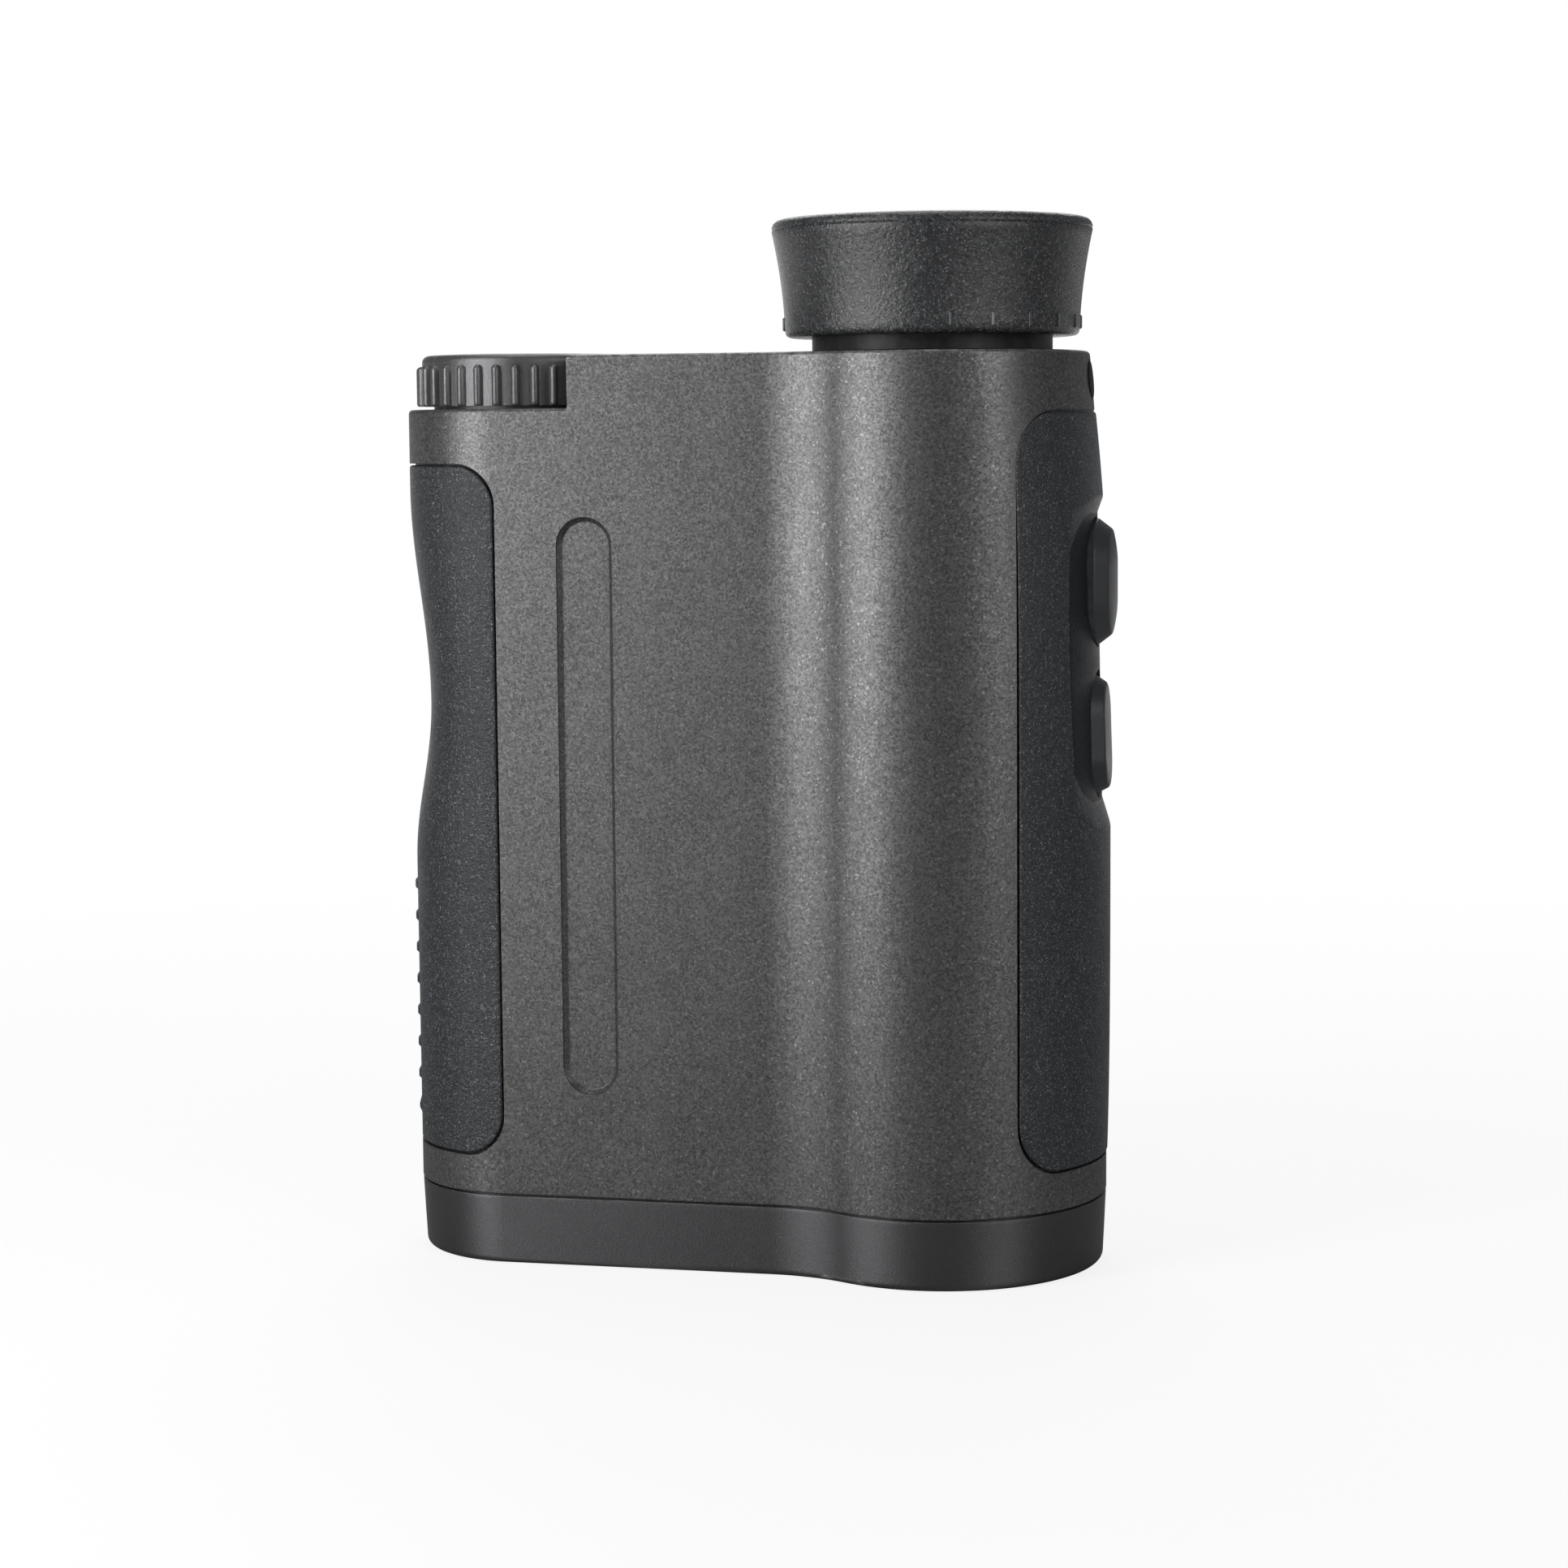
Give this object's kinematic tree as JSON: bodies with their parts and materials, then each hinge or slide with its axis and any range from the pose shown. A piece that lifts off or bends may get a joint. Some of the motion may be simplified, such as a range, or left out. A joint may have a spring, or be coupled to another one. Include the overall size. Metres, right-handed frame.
{
  "type": "laser rangefinder monocular",
  "caption": "Compact handheld laser rangefinder monocular with a twist eyepiece, ribbed battery cap, rubber side grips and sprung side buttons.",
  "frame": {"origin": "middle of the base that the part stands on, below the middle of its outer box", "axes": "+Z from the objective end up to the eyepiece, +X to the button side, -Y to the side with the label recess"},
  "size_m": [0.0754, 0.0344, 0.1084],
  "materials": {
    "housing_paint": "satin metallic paint over reinforced plastic",
    "bezel_plastic": "fine satin moulding",
    "grip_rubber": "fine grained soft rubber",
    "eyecup_rubber": "fine grained rubber",
    "button_plastic": "smooth satin",
    "cap_plastic": "satin",
    "badge_lacquer": "blank glossy inlay",
    "neck_plastic": "satin black",
    "seal_rubber": "plain black",
    "barrel_black": "black anodised",
    "frame_plastic": "glass filled plastic",
    "eyepiece_glass": "coated optical glass",
    "objective_glass": "coated optical glass",
    "laser_glass": "filter coated optical glass",
    "prism_glass": "polished prism glass",
    "circuit_board": "green board",
    "chip_black": "moulded package",
    "contact_brass": "gold plated",
    "spring_steel": "plain steel",
    "battery_wrap": "plain sleeve"
  },
  "bodies": {
    "housing": {"main_housing": "housing_paint", "front_bezel": "bezel_plastic", "left_grip": "grip_rubber", "right_grip": "grip_rubber", "side_badge": "badge_lacquer", "bezel_gasket": "seal_rubber", "objective_gasket": "seal_rubber", "laser_gasket": "seal_rubber", "eyepiece_tube": "barrel_black", "drum_retainer": "barrel_black", "objective_cell": "barrel_black", "objective_retainer": "barrel_black", "laser_barrel": "barrel_black", "laser_retainer": "barrel_black", "bulkhead": "frame_plastic", "prism_holder": "frame_plastic", "battery_tube": "frame_plastic", "objective_front_element": "objective_glass", "objective_rear_element": "objective_glass", "laser_lens": "laser_glass", "half_prism": "prism_glass", "roof_prism": "prism_glass", "button_board": "circuit_board", "laser_board": "circuit_board", "display_board": "circuit_board", "main_board": "circuit_board", "board_chips": "chip_black", "switch_bodies": "chip_black", "display_module": "chip_black", "laser_diode": "contact_brass", "power_strip": "contact_brass", "battery_contact": "spring_steel", "cell_key_pin": "spring_steel", "bulkhead_screws": "spring_steel", "receiver_sensor": "spring_steel", "battery": "battery_wrap"},
    "main_button": {"main_button": "button_plastic", "main_switch_plunger": "contact_brass"},
    "second_button": {"second_button": "button_plastic", "second_switch_plunger": "contact_brass"},
    "dioptre_drum": {"dioptre_drum": "neck_plastic"},
    "eyecup": {"eyecup": "eyecup_rubber"},
    "eyepiece_cell": {"lens_cell": "barrel_black", "field_lens": "eyepiece_glass", "eye_lens": "eyepiece_glass", "eye_lens_retainer": "barrel_black"},
    "cap_contact": {"cap_contact": "contact_brass"},
    "battery_cap": {"battery_cap": "cap_plastic", "cap_o_ring": "seal_rubber"}
  },
  "joints": [
    {"name": "main_button_press", "type": "slide", "parent": "housing", "child": "main_button", "axis": [-1, 0, 0], "range_m": [0, 0.0008], "stiffness_N_per_m": 2500},
    {"name": "second_button_press", "type": "slide", "parent": "housing", "child": "second_button", "axis": [-1, 0, 0], "range_m": [0, 0.0008], "stiffness_N_per_m": 2500},
    {"name": "dioptre_turn", "type": "hinge", "parent": "housing", "child": "dioptre_drum", "pos_m": [0.0185, 0, 0.1], "axis": [0, 0, 1], "range_deg": [-57.8, 57.8]},
    {"name": "eyecup_pull", "type": "slide", "parent": "dioptre_drum", "child": "eyecup", "axis": [0, 0, 1], "range_m": [0, 0.0046]},
    {"name": "eyepiece_focus", "type": "slide", "parent": "housing", "child": "eyepiece_cell", "axis": [0, 0, 1], "range_m": [-0.00075, 0.00075]},
    {"name": "battery_cap_lift", "type": "slide", "parent": "housing", "child": "cap_contact", "axis": [0, 0, 1], "range_m": [0, 0.003]},
    {"name": "battery_cap_turn", "type": "hinge", "parent": "cap_contact", "child": "battery_cap", "pos_m": [-0.0252, 0, 0.09], "axis": [0, 0, 1], "range_deg": [0, 721]}
  ],
  "couplings": [
    {"joint": "dioptre_turn", "follows": "eyepiece_focus", "rad_per_m": 1343.9},
    {"joint": "battery_cap_turn", "follows": "battery_cap_lift", "rad_per_m": 4188.8}
  ]
}
